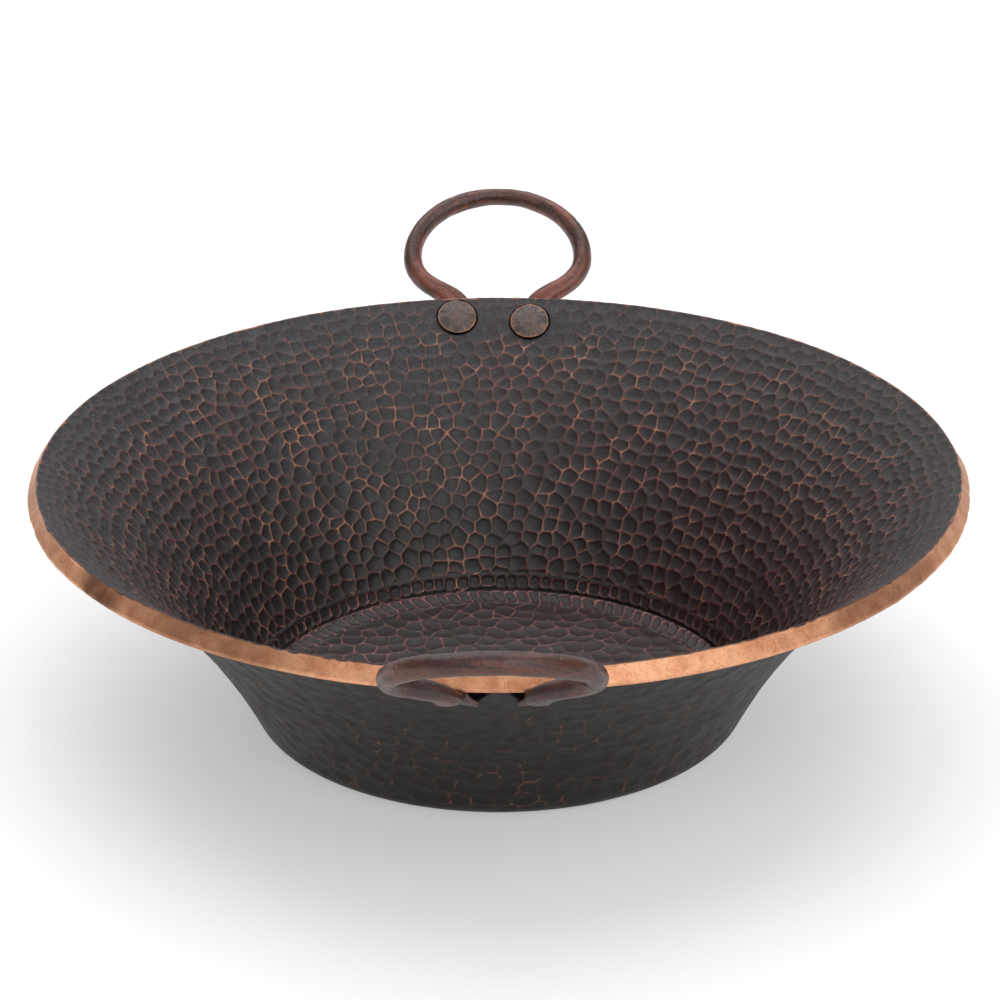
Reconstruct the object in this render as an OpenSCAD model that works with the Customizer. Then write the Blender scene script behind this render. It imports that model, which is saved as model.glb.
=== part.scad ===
// Hammered copper bowl with two riveted loop handles.
// The origin is the centre of the underside, +Z is up, the handles lie along Y and the front is -Y.

/* [Bowl] */
// Outside diameter over the lower edge of the lip
rim_d = 406.4; // [400:0.1:412]
// Height of the lip's upper edge above the underside
bowl_h = 115.2; // [113:0.1:117]
// Thickness of the beaten copper in the wall
wall_t = 2; // [1.8:0.1:2.4]
// Thickness of the floor
floor_t = 3.6; // [3.2:0.1:4]
// Diameter of the flat floor inside, at the crease where the wall starts
floor_d = 210; // [207:1:213]
// Slope of the inner wall at the crease, in degrees above horizontal
wall_foot_slope = 65; // [63:0.1:66]
// Radius of the outside corner between the underside and the wall
corner_r = 11; // [9:0.5:12]

/* [Lip] */
// How far the lip's face leans out from its upper edge to its lower edge
lip_out = 4.2; // [3.6:0.1:4.8]
// How far the lip's face drops from its upper edge to its lower edge
lip_drop = 8.1; // [7.4:0.1:8.6]
// Distance down the wall from the upper edge to the root of the lip's underside
lip_root = 5; // [4.5:0.1:5.5]
// Radius of the rounded nose along the lip's lower edge
lip_nose = 1.6; // [1.2:0.1:1.8]

/* [Handles] */
// Width between the rod's centres at the widest part of the loop
loop_w = 81; // [76:0.2:85]
// Length of the loop from its widest part to the middle of its grip
loop_l = 34.2; // [31:0.2:37]
// Angle of the loop above horizontal
loop_rise = 36.3; // [34:0.1:38]
// Distance from the lip's lower edge out to the widest part of the loop
loop_reach = 24.1; // [22:0.1:26]
// Height of the widest part of the loop above the lip's lower edge
loop_lift = 17.9; // [16:0.1:20]
// Thickness of the rod measured across the loop
rod_w = 8.8; // [8:0.1:9.6]
// The same in the middle of the grip, where the rod is thinnest
grip_w = 7.5; // [7:0.1:8]
// Thickness of the rod measured through the loop
rod_h = 9.4; // [8.6:0.1:10]
// Half the distance between the legs where they turn down behind the lip
neck_x = 18.6; // [17:0.1:19.5]
// Diameter of the flattened pad at the end of each leg
pad_d = 16; // [14:0.5:17]
// Thickness of the pad
pad_t = 6; // [5.6:0.1:6.4]
// Sideways shift of the back loop from the bowl's middle
back_shift = -0.2; // [-3:0.1:3]
// Sideways shift of the front loop from the bowl's middle
front_shift = -2.6; // [-3:0.1:3]

/* [Rivets] */
// Diameter of the flat head inside the bowl
head_d = 18.2; // [17:0.1:19]
// Height of that head at its edge
head_edge = 1; // [0.8:0.1:1.4]
// Extra height of that head at its middle
head_dome = 1.2; // [0.8:0.1:1.6]
// Diameter of the shank, and of the holes through the wall and the pad
shank_d = 6; // [5:0.5:6.5]
// Diameter of the countersink that the shank's outer end is hammered into
sink_d = 8.5; // [8:0.1:9]
// Depth of the countersink
sink_h = 1.4; // [1.2:0.1:1.6]
// Sideways place of the back left rivet
back_left_x = -19.4; // [-20:0.1:-17]
// Distance of the back left rivet down the wall from the upper edge
back_left_down = 10.5; // [10:0.1:14]
// Sideways place of the back right rivet
back_right_x = 14.7; // [14:0.1:20]
// Distance of the back right rivet down the wall from the upper edge
back_right_down = 13.3; // [10:0.1:14]
// Sideways place of the front left rivet
front_left_x = -18.6; // [-20:0.1:-17]
// Distance of the front left rivet down the wall from the upper edge
front_left_down = 12; // [10:0.1:14]
// Sideways place of the front right rivet
front_right_x = 17.4; // [15:0.1:20]
// Distance of the front right rivet down the wall from the upper edge
front_right_down = 12; // [10:0.1:14]

/* [Hidden] */

copper = [0.72, 0.45, 0.31];
patina = [0.30, 0.25, 0.23];
head_tone = [0.45, 0.36, 0.32];

// Inner wall: an arc that leans out by wall_turn degrees between the crease and the upper edge
edge_r = rim_d / 2 - lip_out;
crease_r = floor_d / 2;
run = edge_r - crease_r;
climb = bowl_h - floor_t;
wall_turn = 2 * (wall_foot_slope - atan2(climb, run));
arc_r = norm([run, climb]) / (2 * sin(wall_turn / 2));
edge_slope = wall_foot_slope - wall_turn;
wall_steps = 16;

// A point of the wall in the half plane [radius, height]: slope along the arc, out = distance outside the inner face
function wall_at(slope, out = 0) =
    [crease_r + arc_r * (sin(wall_foot_slope) - sin(slope)) + out * sin(slope),
     floor_t + arc_r * (cos(slope) - cos(wall_foot_slope)) - out * cos(slope)];

// The slope of the wall at a distance measured down from the upper edge
function slope_at(down) = edge_slope + down / arc_r * 180 / PI;

// Outside corner of the underside: its arc touches the underside and the straight foot of the wall
wall_foot = wall_at(wall_foot_slope, wall_t);
foot_r = wall_foot[0] - wall_foot[1] / tan(wall_foot_slope);
corner_run = corner_r * tan(wall_foot_slope / 2);
corner_at = [foot_r - corner_run, corner_r];
corner_steps = 8;

function unit(v) = v / norm(v);

function heading(v) = atan2(v[1], v[0]);

// Lip: its upper edge, the root where its underside meets the outer wall, and its nose, a round
// that the face and the underside both touch
lip_edge = [edge_r, bowl_h];
lip_root_at = wall_at(slope_at(lip_root), wall_t);
nose_at = [rim_d / 2 - lip_nose, bowl_h - lip_drop + lip_nose * 0.65];
nose_from = heading(lip_root_at - nose_at) + acos(lip_nose / norm(lip_root_at - nose_at)) - 360;
nose_to = heading(lip_edge - nose_at) - acos(lip_nose / norm(lip_edge - nose_at));
nose_steps = 9;

// Outside of the bowl from the middle of the underside to the lip's upper edge
outside = concat(
    [[0, 0]],
    [for (i = [0:corner_steps]) let (g = wall_foot_slope * i / corner_steps)
        corner_at + corner_r * [sin(g), -cos(g)]],
    [for (i = [1:wall_steps]) wall_at(wall_foot_slope
        + (slope_at(lip_root) - wall_foot_slope) * i / wall_steps, wall_t)],
    [for (i = [0:nose_steps]) let (g = nose_from + (nose_to - nose_from) * i / nose_steps)
        nose_at + lip_nose * [cos(g), sin(g)]],
    [lip_edge]);

// Inside of the bowl from the lip's upper edge to the middle of the floor
inside = concat(
    [for (i = [1:wall_steps]) wall_at(edge_slope + wall_turn * i / wall_steps)],
    [[0, floor_t]]);

// Everything under the outer surface, as one solid block
module bowl_block() {
    rotate_extrude($fn = 180)
        polygon(concat(outside, [[0, bowl_h]]));
}

module bowl_shell() {
    rotate_extrude($fn = 180)
        polygon(concat(outside, inside));
}

// Places its children on the wall: origin on the inner face, +Z out through the wall
module on_wall(x, down, back = true) {
    side = back ? 1 : -1;
    place = wall_at(slope_at(down));
    rotate([0, 0, side * 90 - side * asin(x / place[0])])
        translate([place[0], 0, place[1]])
            rotate([0, 180 - slope_at(down), 0])
                children();
}

// Handle, drawn at the back (+Y) of the bowl and turned round for the front
widest_y = rim_d / 2 + loop_reach;
widest_z = bowl_h - lip_drop + loop_lift;
loop_out = [0, cos(loop_rise), sin(loop_rise)];
loop_up = [0, -sin(loop_rise), cos(loop_rise)];
leg_w = 11.5;
leg_h = 5.2;
grip_steps = 11;
side_steps = 11;
leg_steps = 8;
rod_sides = 16;

function bezier(a, b, c, d, t) =
    a * pow(1 - t, 3) + b * 3 * t * pow(1 - t, 2) + c * 3 * t * t * (1 - t) + d * pow(t, 3);

function mix(a, b, t) = a + (b - a) * t;

// Middle of a pad: x sideways, down = distance along the wall
function pad_middle(x, down) =
    let (p = wall_at(slope_at(down), wall_t + pad_t / 2)) [x, sqrt(p[0] * p[0] - x * x), p[1]];

// Centreline of half a loop, from the middle of the grip to a pad, as [point, width, height]
function half_loop(side, shift, x, down) =
    let (widest = [shift + side * loop_w / 2, widest_y, widest_z],
         neck = [shift + side * neck_x, rim_d / 2 + 4.2, bowl_h - lip_drop + 0.2],
         neck_way = unit([side * 0.32, 0.60, 0.74]),
         pad = pad_middle(x, down))
    concat(
        [for (i = [0:grip_steps]) let (g = 90 * i / grip_steps)
            [[shift + side * loop_w / 2 * sin(g), widest_y, widest_z] + loop_out * loop_l * cos(g),
             mix(grip_w, rod_w, sin(g)), rod_h]],
        [for (i = [1:side_steps]) let (t = i / side_steps)
            [bezier(widest, widest - loop_out * 18, neck + neck_way * 9, neck, t),
             mix(rod_w, leg_w, pow(t, 3)), mix(rod_h, leg_h + 1.2, pow(t, 2))]],
        [for (i = [1:leg_steps]) let (t = i / leg_steps)
            [bezier(neck, neck - neck_way * 5.5, pad + [0, 5.5, 0], pad, t),
             mix(leg_w, pad_d * 0.85, t), mix(leg_h + 1.2, leg_h - 0.6, t)]]);

function reversed(list) = [for (i = [len(list) - 1:-1:0]) list[i]];

// An oval ring of the rod at one station, square to the centreline
function ring(path, i) =
    let (last = len(path) - 1,
         along = unit(path[min(i + 1, last)][0] - path[max(i - 1, 0)][0]),
         up = unit(loop_up - along * (loop_up * along)),
         across = cross(along, up))
    [for (k = [0:rod_sides - 1]) let (g = 360 * k / rod_sides)
        path[i][0] + across * path[i][1] / 2 * cos(g) + up * path[i][2] / 2 * sin(g)];

module rod(path) {
    n = len(path);
    polyhedron(
        points = [for (i = [0:n - 1]) each ring(path, i)],
        faces = concat(
            [[for (k = [rod_sides - 1:-1:0]) k]],
            [for (i = [0:n - 2]) for (k = [0:rod_sides - 1])
                let (a = i * rod_sides + k, b = i * rod_sides + (k + 1) % rod_sides)
                each [[a, b, a + rod_sides], [b, b + rod_sides, a + rod_sides]]],
            [[for (k = [0:rod_sides - 1]) (n - 1) * rod_sides + k]]));
}

// The round pad at the foot of a leg, cut straight where it tucks under the lip
module pad(x, down) {
    sunk = 0.8;
    on_wall(x, down)
        translate([0, 0, wall_t - sunk])
            intersection() {
                cylinder(d = pad_d, h = pad_t + sunk, $fn = 64);
                translate([lip_root - down, -pad_d, -1])
                    cube([pad_d * 2, pad_d * 2, pad_t + 3]);
            }
}

// The shank and its countersunk outer end, from the inner face to the pad's outer face
module shank() {
    cylinder(d = shank_d, h = wall_t + pad_t, $fn = 48);
    translate([0, 0, wall_t + pad_t - sink_h])
        cylinder(d1 = shank_d, d2 = sink_d, h = sink_h, $fn = 48);
}

// The hole for a rivet through the pad, with a flat seat cut round its outer end
module pad_hole(x, down) {
    on_wall(x, down) {
        shank();
        translate([0, 0, wall_t + pad_t])
            cylinder(d = sink_d + 1, h = 12, $fn = 48);
    }
}

// The hole for a rivet through the wall
module wall_hole(x, down, back) {
    on_wall(x, down, back)
        translate([0, 0, -2])
            cylinder(d = shank_d, h = wall_t + 5, $fn = 48);
}

// A whole handle at the back, from its left foot to its right foot
module handle(shift, left_x, left_down, right_x, right_down) {
    left = half_loop(-1, shift, left_x, left_down);
    right = half_loop(1, shift, right_x, right_down);
    difference() {
        union() {
            rod(concat(reversed(left), [for (i = [1:len(right) - 1]) right[i]]));
            pad(left_x, left_down);
            pad(right_x, right_down);
        }
        bowl_block();
        pad_hole(left_x, left_down);
        pad_hole(right_x, right_down);
    }
}

// The broad low head of a rivet, domed towards -Z, with its underside sunk below z = 0
module head() {
    sunk = 1;
    steps = 8;
    rotate_extrude($fn = 120)
        polygon(concat(
            [[0, sunk], [0, -head_edge - head_dome]],
            [for (i = [1:steps]) let (t = i / steps) [t * head_d / 2, -head_edge - head_dome * (1 - t * t)]],
            [[head_d / 2, sunk]]));
}

// A rivet: its head bedded on the inner face, and a shank through the wall and the pad
module rivet(x, down, back) {
    color(head_tone) {
        difference() {
            on_wall(x, down, back) head();
            bowl_shell();
        }
        on_wall(x, down, back) {
            translate([0, 0, -head_edge / 2])
                cylinder(d = shank_d, h = head_edge, $fn = 48);
            shank();
        }
    }
}

module bowl() {
    color(copper)
        difference() {
            bowl_shell();
            wall_hole(back_left_x, back_left_down, true);
            wall_hole(back_right_x, back_right_down, true);
            wall_hole(front_left_x, front_left_down, false);
            wall_hole(front_right_x, front_right_down, false);
        }
}

module handle_back() {
    color(patina)
        handle(back_shift, back_left_x, back_left_down, back_right_x, back_right_down);
}

module handle_front() {
    color(patina)
        rotate([0, 0, 180])
            handle(-front_shift, -front_right_x, front_right_down, -front_left_x, front_left_down);
}

bowl();
handle_front();
handle_back();
rivet(front_left_x, front_left_down, false);  // rivet_front_left
rivet(front_right_x, front_right_down, false);  // rivet_front_right
rivet(back_left_x, back_left_down, true);  // rivet_back_left
rivet(back_right_x, back_right_down, true);  // rivet_back_right
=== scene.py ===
"""Looks of the hammered copper bowl: beaten shell, forged loop handles and rivets.

Lengths are in millimetres until a mesh is made, and +Y is the back. The profile and the handles' line are
those of the CAD model, with two changes that the photograph asks for: the inner crease lies a little up the
wall, and the handles' feet run out in pointed tips.
"""

import itertools
import math

import bpy
import numpy as np
from mathutils import Matrix, Vector


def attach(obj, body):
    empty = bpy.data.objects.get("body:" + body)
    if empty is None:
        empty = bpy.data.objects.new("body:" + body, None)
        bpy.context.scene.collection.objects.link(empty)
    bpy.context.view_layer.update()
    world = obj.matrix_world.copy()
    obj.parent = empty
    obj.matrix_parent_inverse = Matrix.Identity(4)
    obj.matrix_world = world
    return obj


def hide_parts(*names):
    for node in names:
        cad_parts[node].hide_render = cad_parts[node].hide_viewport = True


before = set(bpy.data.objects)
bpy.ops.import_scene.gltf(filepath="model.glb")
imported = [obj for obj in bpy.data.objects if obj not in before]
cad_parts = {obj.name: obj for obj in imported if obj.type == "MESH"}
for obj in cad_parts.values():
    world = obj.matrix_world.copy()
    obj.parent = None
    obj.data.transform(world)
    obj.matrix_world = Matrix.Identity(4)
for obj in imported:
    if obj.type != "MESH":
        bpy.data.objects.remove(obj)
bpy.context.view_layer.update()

MM = 0.001

# Bowl: the wall's inner face is one arc from the crease up to the lip's edge
RIM_R = 203.2
HEIGHT = 115.2
WALL_T = 2.0
FLOOR_T = 3.6
CREASE_R = 105.0
FOOT_SLOPE = math.radians(65)
CORNER_R = 11.0
LIP_OUT = 4.2
LIP_DROP = 8.1
LIP_ROOT = 5.0
NOSE_R = 1.6

# Handles: the loop, the rod's sections from the grip to the leg, and the foot with its tip
LOOP_W = 81.0
LOOP_L = 34.2
LOOP_RISE = math.radians(36.3)
LOOP_REACH = 24.1
LOOP_LIFT = 17.9
ROD_W = 8.8
GRIP_W = 7.5
ROD_H = 9.4
NECK_X = 18.6
NECK_OUT = 4.2
LEG_W = 11.5
NECK_H = 6.4
PAD_T = 6.0
FOOT_W = 13.2
TIP_DOWN = 13.5
TIP_IN = 9.0
TIP_OFF = 3.8
HANDLE_SIDES = 56
HANDLE_STEP = 0.55
RUN_APART = 1000

# Rivets: sideways place, distance down the wall, side (1 is the back)
HEAD_D = 18.2
HEAD_ROUND = 0.5
HEAD_FLATS = 19
SHANK_D = 6.0
SINK_D = 8.5
RIVET_SIDES = 144
RIVETS = {
    "rivet_back_left": (-19.4, 10.5, 1),
    "rivet_back_right": (14.7, 13.3, 1),
    "rivet_front_left": (-18.6, 12.0, -1),
    "rivet_front_right": (17.4, 12.0, -1),
}
BACK_SHIFT = -0.2
FRONT_SHIFT = -2.6

# Blows: pitch along and around, how wide their dishes are, and the radius of the tool's face
BLOW_ALONG = 6.2
BLOW_AROUND = 7.7
HAMMER_R = 15.0
LIP_ALONG = 7.5
LIP_AROUND = 10.5
LIP_DISH = 10.0
STAKE_ALONG = 8.5
STAKE_AROUND = 9.5
STAKE_DISH = 9.0
STAKE_R = 34.0
FLOOR_PITCH = 8.8
FLOOR_DISH = 9.0
FLOOR_HAMMER_R = 26.0
BASE_PITCH = 11.0
FLAT_R = 60.0
HEAD_PITCH = 3.9
HEAD_HAMMER_R = 9.0
ROUNDING = 0.48
ROUND_SHARE = 0.35
FAR = 40.0

# Punched rings on both sides of the crease: distance from it, length of a mark, width of the whole ring
PUNCHES = 122
PUNCH_UP = 3.3
PUNCH_UP_LONG = 5.8
RING_UP = 7.0
PUNCH_IN = 3.9
PUNCH_IN_LONG = 7.4
RING_IN = 7.8

# The floor's edge turns up into the wall, so the crease lies a little up the CAD wall
CREASE_UP = 3.0
FLOOR_TURN = 7.5

# Ridges further off than this all look alike
FAR_RIDGE = 3.0

# Browner stretches of the bare lip, partly real tarnish and partly painted shade: azimuth, reach either way
# in degrees, amount
BROWN_AND_SHADED_STRETCHES = [
    (-174, 9, 0.4),
    (-165, 22, 0.3),
    (-145, 9, 0.8),
    (-127, 19, 0.52),
    (-90, 8, 0.2),
    (-44, 7, 0.5),
    (-36, 12, 0.5),
    (-8, 22, 0.28),
]

COLUMNS = 2048
UP = np.array([0.0, 0.0, 1.0])


# ---- profile of the bowl

EDGE_R = RIM_R - LIP_OUT
CLIMB = HEIGHT - FLOOR_T
RUN = EDGE_R - CREASE_R
WALL_TURN = 2 * (FOOT_SLOPE - math.atan2(CLIMB, RUN))
ARC_R = math.hypot(RUN, CLIMB) / (2 * math.sin(WALL_TURN / 2))
EDGE_SLOPE = FOOT_SLOPE - WALL_TURN
WALL_LENGTH = ARC_R * WALL_TURN
ARC_MIDDLE = np.array([CREASE_R + ARC_R * math.sin(FOOT_SLOPE), FLOOR_T - ARC_R * math.cos(FOOT_SLOPE)])


def wall_at(down, out=0.0):
    """Radius and height of a point of the wall: down from the upper edge, out from the inner face."""
    slope = EDGE_SLOPE + down / ARC_R
    return ARC_MIDDLE + (ARC_R - out) * np.array([-math.sin(slope), math.cos(slope)])


def radius_at_down(down):
    """Radius of the inner face at each distance down from the upper edge."""
    return ARC_MIDDLE[0] - ARC_R * np.sin(EDGE_SLOPE + down / ARC_R)


def wall_frame(x, down, side):
    """Origin on the inner face and the directions down the wall, sideways and out through it."""
    radius, height = wall_at(down)
    slope = EDGE_SLOPE + down / ARC_R
    turn = side * math.pi / 2 - side * math.asin(x / radius)
    away = np.array([math.cos(turn), math.sin(turn), 0.0])
    origin = away * radius + UP * height
    down_way = -math.cos(slope) * away - math.sin(slope) * UP
    out_way = math.sin(slope) * away - math.cos(slope) * UP
    return origin, down_way, np.cross(out_way, down_way), out_way


def arc(centre, radius, start, end, count):
    """Points of a circular arc, with angles in radians."""
    return [centre + radius * np.array([math.cos(a), math.sin(a)]) for a in np.linspace(start, end, count)]


def distances(points):
    """How far along a line each of its points is."""
    return np.r_[0, np.cumsum(np.linalg.norm(np.diff(points, axis=0), axis=1))]


def respace(rows, far, count):
    """Rows at count even spacings of a line, from rows that are far along it."""
    even = np.linspace(0, far[-1], count)
    return np.column_stack([np.interp(even, far, column) for column in rows.T])


def resample(points, step):
    """The same line with points at an even spacing close to step."""
    points = np.array(points, float)
    far = distances(points)
    return respace(points, far, max(2, round(far[-1] / step) + 1))


def lip_lines():
    """The lip's face from its upper edge round the nose, and its underside from the nose to the root."""
    root = wall_at(LIP_ROOT, WALL_T)
    nose = np.array([RIM_R - NOSE_R, HEIGHT - LIP_DROP + NOSE_R * 0.65])
    edge = np.array([EDGE_R, HEIGHT])

    def touch(point, sign):
        v = point - nose
        return math.atan2(v[1], v[0]) + sign * math.acos(NOSE_R / np.linalg.norm(v))

    upper = touch(edge, -1)
    lower = touch(root, 1) - 2 * math.pi
    middle = (upper + lower) / 2
    face = [edge] + arc(nose, NOSE_R, upper, middle, 12)
    under = arc(nose, NOSE_R, middle, lower, 12) + [root]
    return face, under


def corner_line():
    """The rounded corner between the wall's foot and the underside."""
    foot = wall_at(WALL_LENGTH, WALL_T)
    foot_r = foot[0] - foot[1] / math.tan(FOOT_SLOPE)
    centre = np.array([foot_r - CORNER_R * math.tan(FOOT_SLOPE / 2), CORNER_R])
    return arc(centre, CORNER_R, FOOT_SLOPE - math.pi / 2, -math.pi / 2, 24)


# ---- smooth noise and hammer marks

LATTICE = np.random.RandomState(7).rand(64, 64, 64) * 2 - 1


def noise(points, size, shift=0.0):
    """Smooth noise from -1 to 1 at points in space, with lumps about size across."""
    p = points / size + 31.7 + shift
    cell = np.floor(p).astype(int)
    t = p - cell
    t = t * t * (3 - 2 * t)
    total = 0
    for dx, dy, dz in itertools.product((0, 1), repeat=3):
        weight = (
            (t[:, 0] if dx else 1 - t[:, 0])
            * (t[:, 1] if dy else 1 - t[:, 1])
            * (t[:, 2] if dz else 1 - t[:, 2])
        )
        x, y, z = ((cell + [dx, dy, dz]) % 64).T
        total = total + weight * LATTICE[x, y, z]
    return total


def smooth(value, low, high):
    """0 below low, 1 above high and a smooth step between them (or the reverse where low is above high)."""
    t = np.clip((value - low) / (high - low), 0, 1)
    return t * t * (3 - 2 * t)


def wrap(angle):
    """An angle brought to between half a turn back and half a turn on."""
    return (angle + math.pi) % (2 * math.pi) - math.pi


class Blows:
    """Hammer blows, each a shallow round dish. The lowest dish at a point is the one seen there."""

    def __init__(self, count, seed, depth_spread=0.3, stretch=0.2):
        draw = np.random.RandomState(seed)
        self.jitter_u = draw.uniform(-1, 1, count)
        self.jitter_v = draw.uniform(-1, 1, count)
        self.depth = draw.uniform(-1, 1, count) * depth_spread
        turn = draw.uniform(0, math.pi, count)
        long = 1 + stretch * draw.rand(count)
        size = draw.uniform(0.85, 1.2, count)
        c, s = np.cos(turn), np.sin(turn)
        self.uu = (c * c / long + s * s * long) / size
        self.vv = (s * s / long + c * c * long) / size
        self.uv = c * s * (1 / long - long) / size

    def dish(self, du, dv, number, hammer_r, scale):
        """Height of one blow's dish at each point, and its slope both ways."""
        gu = (self.uu[number] * du + self.uv[number] * dv) / hammer_r
        gv = (self.uv[number] * du + self.vv[number] * dv) / hammer_r
        h = (gu * du + gv * dv) / 2 + scale * self.depth[number]
        return h, gu, gv

    def strike(self, candidates, hammer_r, width, rounding=ROUNDING):
        """What the blows leave at each point, for dishes about width across.

        Gives the height (0 at the middle of a dish), the distance to the nearest ridge, with the corners of
        the dishes rounded, and how deep this blow went. candidates() walks through the blows near by."""
        scale = width * width / 8 / hammer_r
        low = None
        for du, dv, number in candidates():
            new = np.stack([*self.dish(du, dv, number, hammer_r, scale), number])
            low = new if low is None else np.where(new[0] < low[0], new, low)
        near = np.zeros(low.shape[1])
        sharp = np.full(low.shape[1], FAR)
        for du, dv, number in candidates():
            h, gu, gv = self.dish(du, dv, number, hammer_r, scale)
            steep = np.hypot(gu - low[1], gv - low[2]) + 1e-6
            gap = np.where(number == low[3], FAR, (h - low[0]) / steep)
            near += np.exp(-np.minimum(gap, FAR) / rounding)
            sharp = np.minimum(sharp, gap)
        rounded = -rounding * np.log(near + 1e-12)
        to_ridge = ROUND_SHARE * rounded + (1 - ROUND_SHARE) * sharp
        return low[0], to_ridge, self.depth[low[3].astype(int)]


def ring_candidates(blows, theta, along, radius_of, pitch_along, pitch_around, spread=0.29):
    """The blows near each point, where they lie in rings along a surface of revolution."""
    base = np.floor(along / pitch_along).astype(int)
    for row_step in range(-2, 3):
        row = base + row_step
        middle = (row + 0.5) * pitch_along
        count = np.maximum(6, np.round(2 * math.pi * radius_of(middle) / pitch_around)).astype(int)
        offset = (row * 0.618) % 1.0
        place = theta / (2 * math.pi) * count - offset
        near = np.floor(place).astype(int)
        radius = radius_of(along)
        for column_step in range(-2, 3):
            column = (near + column_step) % count
            number = (row * 409 + column * 7 + 90001) % len(blows.depth)
            angle = (column + 0.5 + offset + spread * blows.jitter_u[number]) / count * 2 * math.pi
            yield (
                wrap(theta - angle) * radius,
                along - middle - 0.8 * spread * pitch_along * blows.jitter_v[number],
                number,
            )


def flat_candidates(blows, x, y, pitch, spread=0.4):
    """The blows near each point of a flat sheet."""
    base_x = np.floor(x / pitch).astype(int)
    base_y = np.floor(y / pitch).astype(int)
    for step_x in range(-2, 3):
        for step_y in range(-2, 3):
            i, j = base_x + step_x, base_y + step_y
            number = (i * 131 + j * 17 + 50021) % len(blows.depth)
            yield (
                x - (i + 0.5 + 0.5 * (j % 2) + spread * blows.jitter_u[number]) * pitch,
                y - (j + 0.5 + spread * blows.jitter_v[number]) * pitch,
                number,
            )


def punch_marks(theta, offset, length, slant):
    """Height of a ring of punched ovals, leaning by slant pitches a mm, and the distance to their edge."""
    wobble = 0.10 * np.sin(theta * 17 + slant * 90) + 0.08 * np.sin(theta * 41)
    place = theta / (2 * math.pi) * PUNCHES + wobble + slant * offset
    number = np.floor(place).astype(int) % PUNCHES
    draw = np.random.RandomState(round(11 + 100 * slant))
    deep = draw.uniform(0.75, 1.2, PUNCHES)[number]
    long = length * draw.uniform(0.9, 1.08, PUNCHES)[number]
    lean = draw.uniform(-0.5, 0.5, PUNCHES)[number]
    across = (place % 1.0 - 0.5) * 2
    oval = 1 - np.abs(across) ** 2.6 - np.abs((offset - lean) / (long / 2)) ** 3
    return -0.7 * deep * smooth(oval, 0.0, 0.7), 1.7 * np.abs(oval - 0.05)


# ---- meshes

def make_object(name, points, quads, triangles, masks=None):
    """A smooth-shaded mesh object in metres, with a float attribute on its points for each mask."""
    quads = np.array(quads, np.int32).reshape(-1, 4)
    triangles = np.array(triangles, np.int32).reshape(-1, 3)
    loops = np.r_[quads.ravel(), triangles.ravel()]
    sizes = np.r_[np.full(len(quads), 4, np.int32), np.full(len(triangles), 3, np.int32)]
    mesh = bpy.data.meshes.new(name)
    mesh.vertices.add(len(points))
    mesh.vertices.foreach_set("co", (np.array(points) * MM).astype(np.float32).ravel())
    mesh.loops.add(len(loops))
    mesh.loops.foreach_set("vertex_index", loops)
    mesh.polygons.add(len(sizes))
    mesh.polygons.foreach_set("loop_start", (np.cumsum(sizes) - sizes).astype(np.int32))
    mesh.polygons.foreach_set("use_smooth", np.ones(len(sizes), bool))
    for mask, values in (masks or {}).items():
        layer = mesh.attributes.new(mask, "FLOAT", "POINT")
        layer.data.foreach_set("value", np.asarray(values, np.float32))
    mesh.update(calc_edges=True)
    mesh.validate()
    thing = bpy.data.objects.new(name, mesh)
    bpy.context.scene.collection.objects.link(thing)
    return thing


def join_rings(starts, counts):
    """Faces between rings of points, each with as many points as the one before, half, double or one."""
    quads, triangles = [], []
    for a, b, n, m in zip(starts[:-1], starts[1:], counts[:-1], counts[1:]):
        i = np.arange(n)
        if n == m:
            quads.append(np.column_stack([a + i, a + (i + 1) % n, b + (i + 1) % n, b + i]))
        elif m == 1:
            triangles.append(np.column_stack([a + i, a + (i + 1) % n, np.full(n, b)]))
        elif n == 1:
            j = np.arange(m)
            triangles.append(np.column_stack([np.full(m, a), b + (j + 1) % m, b + j]))
        elif n == 2 * m:
            j = np.arange(m)
            left, middle, right = a + 2 * j, a + 2 * j + 1, a + (2 * j + 2) % n
            near, far = b + j, b + (j + 1) % m
            triangles += [
                np.column_stack([left, middle, near]),
                np.column_stack([middle, far, near]),
                np.column_stack([middle, right, far]),
            ]
        else:
            near, far = a + i, a + (i + 1) % n
            left, middle, right = b + 2 * i, b + 2 * i + 1, b + (2 * i + 2) % m
            triangles += [
                np.column_stack([near, middle, left]),
                np.column_stack([near, far, middle]),
                np.column_stack([far, right, middle]),
            ]
    return np.concatenate(quads), np.concatenate(triangles)


def close_tube(points, rings, sides):
    """A tube's points with the middle of each end added, and its faces."""
    ends = points.reshape(rings, sides, 3)[[0, -1]].mean(1)
    starts = [0, *(1 + sides * np.arange(rings + 1))]
    quads, triangles = join_rings(starts, [1] + [sides] * rings + [1])
    return np.concatenate([ends[:1], points, ends[1:]]), quads, triangles


# ---- bowl

FLOOR, WALL, FACE, UNDER, OUTER, BASE = range(6)


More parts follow.
